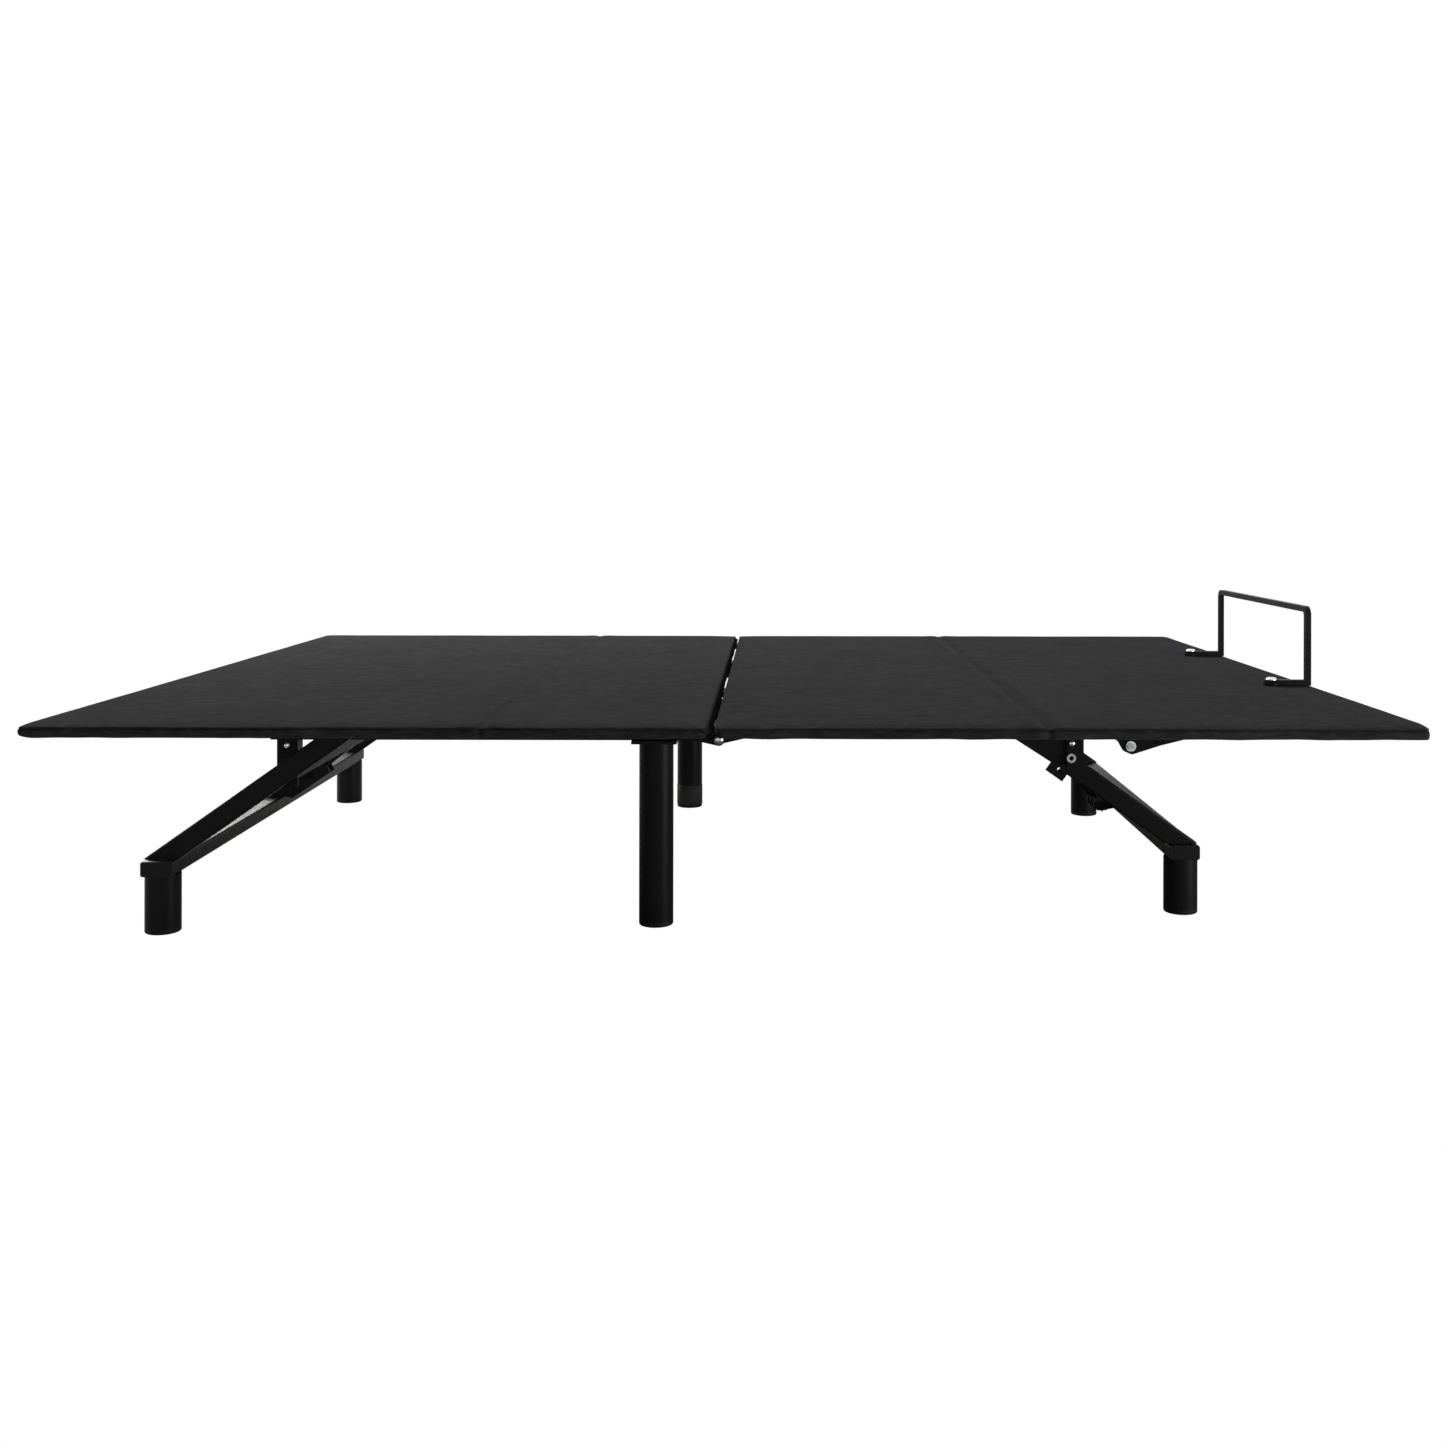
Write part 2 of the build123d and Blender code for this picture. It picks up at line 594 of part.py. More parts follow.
# Legs: round tubes, closed at the top, with moulded glides
leg_radius = leg_diameter / 2
leg_end_thick = 5.0
glide_round = 2.5
glide_play = 0.3
glide_plug = (leg_radius - leg_wall - glide_play, 16.0)
centre_flange_x = (-38.0, 34.0)
centre_flange_half = 30.0
leg_tops = {"head": bar_z[0], "centre": rail_bottom - leg_end_thick, "foot": bar_z[0]}
leg_places = {"head": head_leg, "centre": centre_leg, "foot": foot_leg}
for end, (leg_x, leg_y) in leg_places.items():
    with BuildPart() as legs:
        for side in (-1, 1):
            with BuildSketch(Plane.XY.offset(glide_height)) as ring:
                with Locations((leg_x, side * leg_y)):
                    Circle(leg_radius)
            extrude(ring.sketch, amount=leg_tops[end] - glide_height)
            with BuildSketch(Plane.XY.offset(glide_height)) as bore:
                with Locations((leg_x, side * leg_y)):
                    Circle(leg_radius - leg_wall)
            extrude(bore.sketch, amount=leg_tops[end] - glide_height - leg_end_thick, mode=Mode.SUBTRACT)
        if end == "centre":
            for side in (-1, 1):
                flange_y = (side * leg_y - centre_flange_half, side * leg_y + centre_flange_half)
                block([leg_x + edge for edge in centre_flange_x], flange_y, (leg_tops[end], rail_bottom))
    save(legs, f"{end}_legs")

with BuildPart() as leg_glides:
    for leg_x, leg_y in leg_places.values():
        with Locations((leg_x, leg_y), (leg_x, -leg_y)):
            Cylinder(leg_radius, glide_height, align=upright)
    fillet(leg_glides.faces().filter_by(Axis.Z).group_by(Axis.Z)[0].edges(), glide_round)
    for leg_x, leg_y in leg_places.values():
        with Locations((leg_x, leg_y, glide_height), (leg_x, -leg_y, glide_height)):
            Cylinder(*glide_plug, align=upright)
save(leg_glides, "leg_glides")

# Lift actuators: a housing on a drop bracket, a motor on its side and a rod pinned to the panel
head_low = along(head_axis, -lower_pivot_angle + 2 * (lower_pivot_angle - 90), head_lift_radius)
head_high = along(head_axis, 180 + upper_pivot_angle, head_lift_radius)
thigh_low = along(thigh_axis, -lower_pivot_angle, thigh_lift_radius)
thigh_high = along(thigh_axis, -upper_pivot_angle, thigh_lift_radius)
housing_ends = {"head": 112.0, "foot": 102.0}
motor_places = {"head": 76.0, "foot": 70.0}
lifts = {"head": (head_low, head_high, seat_tube_x), "foot": (thigh_low, thigh_high, centre_tube_x)}
cheek_play = 0.5
bracket_gap = actuator_half_width + cheek_play + plate_thick / 2
tube_under = cross_tube_z[0] - root_radius
drop_radius = 13.0
drop_root_half = 12.0
pivot_pin_head = (9.0, 3.0)

with BuildPart() as drop_brackets:
    for low, high, tube_x in lifts.values():
        for offset_y in (-bracket_gap, bracket_gap):
            roots = ((tube_x + reach, tube_under, root_radius) for reach in (-drop_root_half, drop_root_half))
            hull_plate(((*low, drop_radius), *roots), actuator_y + offset_y, plate_thick)
            hole(low, actuator_y + offset_y, actuator_pin_radius + running_clearance, plate_thick)
save(drop_brackets, "drop_brackets")

with BuildPart() as pivot_pins:
    for link_side in (-1, 1):
        pin(link_pivot, link_side * link_y, link_pivot_radius, 2 * lug_offset + plate_thick)
    for low, high, tube_x in lifts.values():
        pin(low, actuator_y, actuator_pin_radius, 2 * bracket_gap + plate_thick)
        for side in (-1, 1):
            head_y = actuator_y + side * (bracket_gap + plate_thick / 2 + pivot_pin_head[1] / 2)
            pin(low, head_y, *pivot_pin_head)
save(pivot_pins, "pivot_pins")

housing_eye_radii = (12.0, 15.0)
housing_eye_length = 22.0
barrel_start = 20.0
bore_start = 17.0
rod_start = 19.0
rod_eye_radii = (11.0, 8.0)
rod_eye_length = 14.0
motor_start = 8.0
motor_round = 5.0
ear_radius = 9.0
ear_root_half = 26.0
ear_play = 1.0
ear_offset = rod_radius + ear_play + plate_thick / 2
for end, (low, high, tube_x) in lifts.items():
    rise = degrees(atan2(high[1] - low[1], high[0] - low[0]))
    reach = hypot(high[0] - low[0], high[1] - low[1])
    motor_point = along(low, rise, motor_places[end])

    with BuildPart() as housing:
        eye = ((*low, housing_eye_radii[0]), (*along(low, rise, housing_eye_length), housing_eye_radii[1]))
        hull_plate(eye, actuator_y, 2 * actuator_half_width)
        with BuildSketch(axis_plane(along(low, rise, barrel_start), actuator_y, rise)) as barrel:
            Circle(housing_radius)
        extrude(barrel.sketch, amount=housing_ends[end] - barrel_start)
        with BuildSketch(axis_plane(along(low, rise, bore_start), actuator_y, rise)) as bore:
            Circle(rod_radius + running_clearance)
        extrude(bore.sketch, amount=reach, mode=Mode.SUBTRACT)
        hole(low, actuator_y, actuator_pin_radius + running_clearance, 2 * actuator_half_width)
    save(housing, f"{end}_actuator_housing")

    with BuildPart() as motor:
        pin(motor_point, actuator_y + motor_start + motor_length / 2, motor_radius, motor_length)
        fillet(motor.faces().sort_by(Axis.Y)[-1].edges(), motor_round)
        with BuildSketch(axis_plane(low, actuator_y, rise)) as saddle:
            Circle(housing_radius + running_clearance)
        extrude(saddle.sketch, amount=reach, mode=Mode.SUBTRACT)
    save(motor, f"{end}_motor")

    with BuildPart() as rod:
        with BuildSketch(axis_plane(along(low, rise, rod_start), actuator_y, rise)) as shaft:
            Circle(rod_radius)
        extrude(shaft.sketch, amount=reach - rod_start)
        eye = ((*high, rod_eye_radii[0]), (*along(high, rise, -rod_eye_length), rod_eye_radii[1]))
        hull_plate(eye, actuator_y, 2 * rod_radius)
        hole(high, actuator_y, actuator_pin_radius + running_clearance, 2 * rod_radius)
    save(rod, f"{end}_rod")

    with BuildPart() as rod_bracket:
        for offset_y in (-ear_offset, ear_offset):
            roots = ((high[0] + reach, board_bottom - root_radius, root_radius)
                     for reach in (-ear_root_half, ear_root_half))
            hull_plate(((*high, ear_radius), *roots), actuator_y + offset_y, plate_thick)
        pin(high, actuator_y, actuator_pin_radius, 2 * (ear_offset + plate_thick))
    save(rod_bracket, f"{end}_rod_bracket")

# Foot links: two flat bars that keep the foot panel level
with BuildPart() as foot_links:
    for link_side in (-1, 1):
        y = link_side * link_y
        ends = ((*link_pivot, link_half_height), (*link_pin, link_half_height))
        hull_plate(ends, y, link_thick)
        for point, radius in ((link_pivot, link_pivot_radius), (link_pin, link_shaft_radius)):
            hole(point, y, radius + running_clearance, link_thick)
save(foot_links, "foot_links")

# Brackets of the foot panel, with a pressed slot and a flange under the board, and their shaft
bracket_outline = ((624.0, board_bottom), (630.0, 294.0), (643.0, 271.0), (657.0, 265.0), (704.0, 280.0),
                   (752.0, 292.0), (776.0, board_bottom))
bracket_round = 8.0
bracket_flange_x = (626.0, 776.0)
bracket_flange_width = 28.0
pressed_slot = (24.0, 5.0)
pressed_slot_place = (688.0, 285.0)
pressed_slot_turn = 8.0
with BuildPart() as foot_brackets:
    for side in (-1, 1):
        y = side * foot_bracket_y
        with BuildSketch(side_plane(y)) as outline:
            with BuildLine():
                Polyline(*bracket_outline, close=True)
            make_face()
            fillet(outline.vertices().sort_by(Axis.Y)[:3], bracket_round)
        extrude(outline.sketch, amount=plate_thick / 2, both=True)
        with BuildSketch(side_plane(side * (foot_bracket_y + plate_thick / 2))) as slot:
            with Locations(pressed_slot_place):
                SlotOverall(*pressed_slot, rotation=pressed_slot_turn)
        extrude(slot.sketch, amount=plate_thick / 2, both=True, mode=Mode.SUBTRACT)
        block(bracket_flange_x, sorted((side * (foot_bracket_y - bracket_flange_width), y)),
              (board_bottom - plate_thick, board_bottom))
        hole(link_pin, y, link_shaft_radius + bolt_clearance, plate_thick)
save(foot_brackets, "foot_brackets")

shaft_face = foot_bracket_y + plate_thick / 2
shaft_washer = (8.4, 2.0)
shaft_nut = (5.0, 4.0)
with BuildPart() as link_shaft:
    pin(link_pin, 0, link_shaft_radius, 2 * shaft_face)
    for side in (-1, 1):
        pin(link_pin, side * (shaft_face + shaft_washer[1] / 2), *shaft_washer)
        pin(link_pin, side * (shaft_face + shaft_washer[1] + shaft_nut[1] / 2), *shaft_nut)
save(link_shaft, "link_shaft")

# Mattress retainer: one bent bar, its feet bolted to the foot panel
retainer_pad = (12.0, 4.0)
retainer_bolt_radius = 3.0
retainer_bolt_head = (9.0, 4.0)
retainer_bolt_round = 3.0
retainer_bolt_y = retainer_half_width - retainer_size / 2
with BuildPart() as retainer_bar:
    bar_plane = Plane(origin=(retainer_x, 0, 0), x_dir=(0, 1, 0), z_dir=(1, 0, 0))
    with BuildSketch(bar_plane) as loop:
        with Locations((0, deck_top)):
            RectangleRounded(2 * retainer_half_width, 2 * retainer_height, retainer_bend)
            RectangleRounded(2 * (retainer_half_width - retainer_size), 2 * (retainer_height - retainer_size),
                             retainer_bend - retainer_size, mode=Mode.SUBTRACT)
        with Locations((0, deck_top - retainer_height / 2)):
            Rectangle(2 * retainer_half_width, retainer_height, mode=Mode.SUBTRACT)
    extrude(loop.sketch, amount=retainer_size / 2, both=True)
    for side in (-1, 1):
        foot_y = sorted((side * (retainer_half_width - retainer_size), side * retainer_half_width))
        block((retainer_foot_x, retainer_x), foot_y, (deck_top, deck_top + retainer_size))
        with Locations((retainer_bolt_x, side * retainer_bolt_y, deck_top)):
            Cylinder(*retainer_pad, align=upright)
            bolt_hole = retainer_bolt_radius + bolt_clearance
            Cylinder(bolt_hole, 2 * (retainer_size + cut_over), mode=Mode.SUBTRACT)
save(retainer_bar, "retainer_bar")

with BuildPart() as retainer_bolts:
    for side in (-1, 1):
        with Locations((retainer_bolt_x, side * retainer_bolt_y, deck_top + retainer_size)):
            Cylinder(*retainer_bolt_head, align=upright)
        with Locations((retainer_bolt_x, side * retainer_bolt_y, deck_top)):
            Cylinder(retainer_bolt_radius, retainer_size, align=upright)
    fillet(retainer_bolts.faces().sort_by(Axis.Z)[-2:].edges(), retainer_bolt_round)
save(retainer_bolts, "retainer_bolts")

# Control box under the seat board
box_x = (-262.0, -98.0)
box_y = (-170.0, -60.0)
box_z = (304.0, board_bottom)
box_corner = 8.0
box_round = 3.0
socket_count = 4
socket_pitch = 28.0
socket_first = 40.0
socket_size = (16.0, 8.0)
socket_z = (312.0, 324.0)
with BuildPart() as control_box:
    block(box_x, box_y, box_z)
    fillet(control_box.edges().filter_by(Axis.Z), box_corner)
    fillet(control_box.faces().sort_by(Axis.Z)[0].edges(), box_round)
    for socket in range(socket_count):
        socket_x = box_x[0] + socket_first + socket_pitch * socket
        block((socket_x - socket_size[0] / 2, socket_x + socket_size[0] / 2),
              (box_y[1] - socket_size[1], box_y[1] + cut_over), socket_z, Mode.SUBTRACT)
save(control_box, "control_box")
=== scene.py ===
from collections import namedtuple
import json
from math import exp, hypot, pi, radians, sin

import bpy
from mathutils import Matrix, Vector, noise


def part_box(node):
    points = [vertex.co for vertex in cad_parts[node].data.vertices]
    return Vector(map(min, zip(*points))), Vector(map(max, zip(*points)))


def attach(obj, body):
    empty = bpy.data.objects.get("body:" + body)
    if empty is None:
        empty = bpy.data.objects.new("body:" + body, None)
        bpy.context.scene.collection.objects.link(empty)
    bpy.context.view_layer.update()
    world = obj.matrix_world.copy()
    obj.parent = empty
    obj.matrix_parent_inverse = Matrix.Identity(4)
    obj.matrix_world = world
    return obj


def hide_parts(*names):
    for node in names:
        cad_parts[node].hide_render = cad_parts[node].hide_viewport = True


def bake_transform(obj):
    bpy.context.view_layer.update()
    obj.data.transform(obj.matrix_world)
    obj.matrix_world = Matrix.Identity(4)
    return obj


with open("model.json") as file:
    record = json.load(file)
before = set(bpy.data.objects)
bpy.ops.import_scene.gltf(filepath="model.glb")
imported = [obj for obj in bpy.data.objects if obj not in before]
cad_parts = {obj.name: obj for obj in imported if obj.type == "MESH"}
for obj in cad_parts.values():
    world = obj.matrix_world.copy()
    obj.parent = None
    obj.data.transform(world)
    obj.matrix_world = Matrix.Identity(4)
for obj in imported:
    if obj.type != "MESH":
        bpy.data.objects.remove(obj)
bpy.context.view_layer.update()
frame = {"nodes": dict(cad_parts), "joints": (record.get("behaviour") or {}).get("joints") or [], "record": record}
nodes = frame["nodes"]
MM = 0.001


# Sockets of a mix node in its colour mode
MIX_FACTOR, MIX_FIRST, MIX_SECOND, MIX_RESULT = 0, 6, 7, 2


class Socket:
    """A shader output that takes part in arithmetic like a number."""

    def __init__(self, tree, output):
        self.tree = tree
        self.output = output

    def math(self, operation, *others, clamp=False):
        """One maths node fed by this value and the others."""
        settings = {"operation": operation, "use_clamp": clamp}
        return new_node(self.tree, "ShaderNodeMath", settings, dict(enumerate((self, *others))))

    def __add__(self, other):
        return self.math("ADD", other)

    def __radd__(self, other):
        return self.math("ADD", other)

    def __sub__(self, other):
        return self.math("SUBTRACT", other)

    def __rsub__(self, other):
        return (self * -1.0).math("ADD", other)

    def __mul__(self, other):
        return self.math("MULTIPLY", other)

    def __rmul__(self, other):
        return self.math("MULTIPLY", other)

    def __truediv__(self, other):
        return self.math("DIVIDE", other)

    def __pow__(self, other):
        return self.math("POWER", other)

    def clamped(self):
        """The value held between 0 and 1."""
        return self.math("ADD", 0.0, clamp=True)

    def step(self, low, high):
        """A smooth rise from 0 at low to 1 at high."""
        return new_node(self.tree, "ShaderNodeMapRange", {"interpolation_type": "SMOOTHSTEP"},
                        {"Value": self, "From Min": low, "From Max": high})


def join(tree, socket, value):
    """Feeds a socket from another socket, or sets its constant."""
    if isinstance(value, Socket):
        tree.links.new(value.output, socket)
    else:
        socket.default_value = value


def new_node(tree, kind, settings=None, inputs=None, output=0):
    """A node with its settings made first and its inputs set or joined; returns one of its outputs."""
    node = tree.nodes.new(kind)
    for name, value in (settings or {}).items():
        setattr(node, name, value)
    for key, value in (inputs or {}).items():
        join(tree, node.inputs[key], value)
    return Socket(tree, node.outputs[output])


class Finish:
    """A material built round one principled shader."""

    def __init__(self, name, **constants):
        self.material = bpy.data.materials.new(name)
        self.material.use_nodes = True
        self.tree = self.material.node_tree
        self.shader = self.tree.nodes["Principled BSDF"]
        self.set(**constants)

    def set(self, **values):
        """Sets or joins the shader's own sockets."""
        for name, value in values.items():
            join(self.tree, self.shader.inputs[name.replace("_", " ")], value)

    def node(self, kind, output, **inputs):
        """One output of a new node with these inputs."""
        return new_node(self.tree, kind, inputs=inputs, output=output)

    def place(self):
        """The point on the part, in metres of the row frame."""
        return self.node("ShaderNodeTexCoord", "Object")

    def stretched(self, scale, vector=None):
        """The point on the part, or another vector, scaled along each axis."""
        return self.node("ShaderNodeMapping", "Vector", Vector=vector or self.place(), Scale=scale)

    def split(self, vector):
        """The x, y and z of a vector."""
        parts = self.node("ShaderNodeSeparateXYZ", "X", Vector=vector).output.node
        return [Socket(self.tree, output) for output in parts.outputs]

    def facing_up(self):
        """The upward share of the surface's normal: 1 on a level top, -1 on an underside."""
        return self.split(self.node("ShaderNodeNewGeometry", "Normal"))[2]

    def noise(self, scale, detail, roughness, vector=None):
        """Fractal noise at a scale per metre, about 0.5."""
        return self.node("ShaderNodeTexNoise", "Fac", Vector=vector or self.place(), Scale=scale,
                         Detail=detail, Roughness=roughness)

    def colours(self, factor, *stops):
        """A colour ramp through (position, colour) stops."""
        ramp = self.node("ShaderNodeValToRGB", "Color", Fac=factor)
        elements = ramp.output.node.color_ramp.elements
        while len(elements) < len(stops):
            elements.new(0.5)
        for element, (position, colour) in zip(elements, stops):
            element.position = position
            element.color = (*colour, 1.0)
        return ramp

    def mix(self, factor, first, second):
        """A colour between a joined one and a constant one."""
        return new_node(self.tree, "ShaderNodeMix", {"data_type": "RGBA"},
                        {MIX_FACTOR: factor, MIX_FIRST: first, MIX_SECOND: (*second, 1.0)}, MIX_RESULT)

    def bump(self, height, distance, strength):
        """Feeds the shader's normal from a height in units of distance."""
        self.set(Normal=self.node("ShaderNodeBump", "Normal", Height=height, Distance=distance,
                                  Strength=strength))


def grey(level, warm=0.0):
    """A neutral colour, a little warmer or cooler."""
    return (level * (1 + warm), level, level * (1 - warm))


# The deck, in millimetres
def pad_box(node):
    """Lowest and highest corner of a pad."""
    return [[round(value / MM, 2) for value in corner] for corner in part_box(node)]


seat_low, seat_high = pad_box("seat_pad")
HALF_WIDTH, DECK_TOP = seat_high[1:]
PAD_DEPTH = DECK_TOP - seat_low[2]
HINGE_X = {joint["name"]: joint["pos_m"][0] / MM for joint in frame["joints"]}
# The flat top panel ends this far inside the pads' outline
INSET = 6.0
# From the top panel's edge, as (outwards, below the top): the roll, the seam, the side band and the hem
# turned under
WRAP = ((1.5, 0.4), (2.8, 1.1), (3.7, 2.1), (4.2, 3.2), (4.2, 4.1), (3.9, 4.7), (4.5, 5.4), (5.3, 6.8),
        (5.9, 9.0), (6.0, 11.6), (5.7, 14.6), (4.9, 17.4), (3.4, 19.6), (1.0, 20.4), (-10.0, 20.5),
        (-26.0, 20.5))
# The seam is the last of this many rows
SEAM_ROWS = 6


def length_along(rows):
    """Length of the sheet from the top panel's edge to the last of these rows."""
    return sum(hypot(b[0] - a[0], b[1] - a[1]) for a, b in zip(((0.0, 0.0), *rows), rows))


# The seam between the top panel and the side band, on the flat sheet, in metres
SEAM_PLACE = (HALF_WIDTH - INSET + length_along(WRAP[:SEAM_ROWS])) * MM
SEAM_REACH = 1.3 * MM
THREAD_PITCH = 2.1 * MM
THREAD_WAVER = 1.6 * MM
PLY_PITCH = 2.6 * MM
# The middle of a noise, where most of its values lie
MIDDLE = (0.3, 0.7)


def upholstery():
    """Black woven cover: crossed threads, stray fibres, slow tone changes and a line of painted shade along the
    seam.
    """
    finish = Finish("deck_fabric", Specular_IOR_Level=0.0, Sheen_Weight=0.10, Sheen_Roughness=0.45,
                    Sheen_Tint=(0.75, 0.76, 0.8, 1.0))
    sheet = finish.node("ShaderNodeUVMap", "UV")
    across, along, _ = finish.split(sheet)
    waver = (finish.noise(60.0, 2.0, 0.55, sheet) - 0.5) * THREAD_WAVER
    turns = 2 * pi / THREAD_PITCH
    warp = ((across + waver) * turns).math("SINE")
    weft = ((along - waver) * turns).math("SINE")
    weave = warp * weft * 0.5 + 0.5
    slub = finish.noise(900.0, 4.0, 0.7, sheet)
    cloud = finish.noise(5.0, 3.0, 0.6, sheet)
    streak = finish.noise(1.0, 5.0, 0.7, finish.stretched((26.0, 120.0, 1.0), sheet))
    patch = finish.noise(30.0, 5.0, 0.7, sheet)
    tone = weave * 0.12
    for texture, share in ((slub, 0.2), (cloud, 0.12), (streak, 0.34), (patch, 0.22)):
        tone = tone + texture.step(*MIDDLE) * share
    cloth = finish.colours(tone, (0.1, grey(0.012)), (0.5, grey(0.034)), (0.9, grey(0.066)))
    lint = finish.noise(2600.0, 1.0, 0.5, sheet).step(0.74, 0.82) * cloud.step(0.42, 0.66)
    cloth = finish.mix(lint * 0.5, cloth, grey(0.11))
    # Painted shade: a dark line along the seam stands in for the shade in its groove
    seam_shade = 1 - (((along.math("ABSOLUTE") - SEAM_PLACE) / SEAM_REACH) ** 2).clamped()
    finish.set(Base_Color=finish.mix(seam_shade * 0.7, cloth, grey(0.005)), Roughness=0.8 + slub * 0.16)
    finish.bump(weave * 0.55 + slub * 0.6 + streak * 0.25, 0.5 * MM, 0.55)
    return finish.material


def powder_coat(name, level, rough):
    """Satin black powder coat: fine orange peel, faint handling marks, dust on faces that look up."""
    finish = Finish(name, Specular_IOR_Level=0.09)
    peel = finish.noise(900.0, 2.0, 0.5)
    grain = finish.noise(3200.0, 2.0, 0.6)
    smear = finish.noise(14.0, 4.0, 0.6)
    scuff = finish.noise(120.0, 5.0, 0.75).step(0.66, 0.74) * smear.step(0.5, 0.66)
    dust = finish.facing_up().step(0.35, 1.0) * finish.noise(240.0, 5.0, 0.75).step(0.46, 0.72)
    coat = finish.colours(smear * 0.6 + peel * 0.4, (0.3, grey(level * 0.8)), (0.7, grey(level * 1.25)))
    worn = rough + (smear - 0.5) * 0.16 + (grain - 0.5) * 0.1 + dust * 0.16 + scuff * 0.1
    finish.set(Base_Color=finish.mix(dust * 0.35 + scuff * 0.18, coat, grey(0.06)), Roughness=worn.clamped())
    finish.bump(peel * 0.8 + grain * 0.35, 0.12 * MM, 0.5)
    return finish.material


def plated(name, level, rough):
    """Bright or zinc plating with fine turning lines and a few dull spots."""
    finish = Finish(name, Metallic=1.0)
    lines = finish.noise(1.0, 2.0, 0.5, finish.stretched((300.0, 5200.0, 300.0)))
    cloud = finish.noise(40.0, 3.0, 0.6)
    dull = finish.noise(300.0, 4.0, 0.7).step(0.6, 0.75)
    plate = finish.colours(cloud * 0.6 + lines * 0.4, (0.25, grey(level * 0.8, -0.01)),
                           (0.75, grey(level, -0.02)))
    finish.set(Base_Color=plate, Roughness=(rough + (lines - 0.5) * 0.14 + dull * 0.14).clamped())
    finish.bump(lines, 0.04 * MM, 0.4)
    return finish.material


def moulded(name, level, rough, grain_scale, grain_depth):
    """Moulded plastic or rubber with a spark-eroded grain."""
    finish = Finish(name, Specular_IOR_Level=0.12)
    grain = finish.noise(grain_scale, 3.0, 0.6)
    cloud = finish.noise(18.0, 3.0, 0.6)
    dust = finish.noise(420.0, 4.0, 0.7).step(0.58, 0.74)
    body = finish.colours(cloud, (0.3, grey(level * 0.85)), (0.7, grey(level * 1.2)))
    finish.set(Base_Color=finish.mix(dust * 0.22, body, grey(0.07, 0.03)),
               Roughness=(rough + (cloud - 0.5) * 0.16 + (grain - 0.5) * 0.12).clamped())
    finish.bump(grain, grain_depth, 0.6)
    return finish.material


def plywood():
    """Plain birch ply: long grain, pores and layered edges."""
    finish = Finish("panel_board")
    length_of_grain = finish.stretched((3.0, 26.0, 26.0))
    grain = finish.noise(1.6, 6.0, 0.62, length_of_grain)
    pores = finish.noise(9.0, 4.0, 0.7, length_of_grain)
    height = finish.split(finish.place())[2]
    ply = (height * (2 * pi / PLY_PITCH)).math("SINE") * 0.5 + 0.5
    edge = 1.0 - finish.facing_up().math("ABSOLUTE").step(0.3, 0.8)
    wood = finish.colours(grain, (0.28, (0.30, 0.205, 0.115)), (0.5, (0.44, 0.32, 0.19)),
                          (0.75, (0.55, 0.42, 0.27)))
    wood = finish.mix(edge * ply, wood, (0.19, 0.12, 0.065))
    wood = finish.mix(pores.step(0.6, 0.75) * 0.5, wood, (0.16, 0.1, 0.055))
    finish.set(Base_Color=wood, Roughness=0.55 + pores * 0.2)
    finish.bump(grain * 0.6 + pores * 0.5, 0.3 * MM, 0.4)
    return finish.material


finishes = {
    "deck_fabric": upholstery(),
    "panel_board": plywood(),
    "frame_steel": powder_coat("frame_steel", 0.0095, 0.38),
    "bright_steel": plated("bright_steel", 0.92, 0.30),
    "zinc_steel": plated("zinc_steel", 0.92, 0.52),
    "actuator_shell": moulded("actuator_shell", 0.014, 0.52, 1500.0, 0.12 * MM),
    "rod_aluminium": plated("rod_aluminium", 0.78, 0.24),
    "moulded_plastic": moulded("moulded_plastic", 0.011, 0.48, 1100.0, 0.10 * MM),
    "rest_rubber": moulded("rest_rubber", 0.013, 0.8, 700.0, 0.20 * MM),
}

# Rigid CAD pieces: finish, a small softened edge and smooth round faces
slot_of = {entry["node"]: entry["material_slot"] for entry in frame["record"]["subparts"]}
# Pieces painted black like the frame, whatever metal their slot names
BLACKENED = ("fold_hinge_seat_leaves", "fold_hinge_thigh_leaves", "fold_hinge_pins", "foot_brace")
for name, piece in nodes.items():
    piece.data.materials.clear()
    piece.data.materials.append(finishes["frame_steel" if name in BLACKENED else slot_of[name]])
    edge = piece.modifiers.new("edge", "BEVEL")
    edge.width = 0.5 * MM
    edge.segments = 2
    edge.limit_method = "ANGLE"
    edge.angle_limit = radians(40)
    edge.harden_normals = True
    piece.data.shade_smooth()


def second_finish(node, axis, inner, outer, finish):
    """Gives another finish to the faces of a piece whose farthest corner lies between two distances from an
    axis across the bed."""
    mesh = nodes[node].data
    mesh.materials.append(finish)
    for face in mesh.polygons:
        corners = [mesh.vertices[index].co for index in face.vertices]
        if inner < max(hypot(corner.x - axis[0], corner.z - axis[1]) for corner in corners) < outer:
            face.material_index = 1


# Axes across the bed, as (x, z) in metres
RING_BOLT = (0.5600, 0.2575)
LINK_SHAFT = (0.655, 0.279)
# The key sockets of the ring bolts get the black rubber finish as painted shade in their recesses, and the foot
# shaft's washers are duller than its nuts
second_finish("frame_bolts", RING_BOLT, inner=0.0, outer=3.9 * MM, finish=finishes["rest_rubber"])
second_finish("link_shaft", LINK_SHAFT, inner=5.3 * MM, outer=20.0 * MM, finish=finishes["zinc_steel"])

# Upholstery, in millimetres: one cover over the head and seat panels, one over the thigh and foot panels

# Outwards reach of the wrap's rows at the fold: the edges meet in a narrow slit and clear each other as the
# thigh panel lifts
SEAT_REACH = (8.0, 8.2, 8.4, 8.6, 8.9, 9.0, 9.2, 12.2, 13.8, 6.0)
THIGH_REACH = (7.9, 8.0, 8.3, 8.5, 8.7, 8.9, 9.1, 6.5, 6.0, 6.0)
# The same rows at the outer end: the head end rolls over as the sides do, the foot end is square
HEAD_REACH = ()
FOOT_REACH = (4.4, 5.2, 5.6, 5.8, 5.8, 5.6, 5.8, 5.9, 6.0, 6.0, 6.0, 5.9, 5.2)
# Depth over which the top turns into the side, and down to which the fall of an edge is felt
ROLL_DEPTH = 4.0
FALL_DEPTH = 20.0
# The stretched cloth lies this much inside the solid pads, on top and at the sides
TOP_SINK, SIDE_SINK = 0.5, 0.5
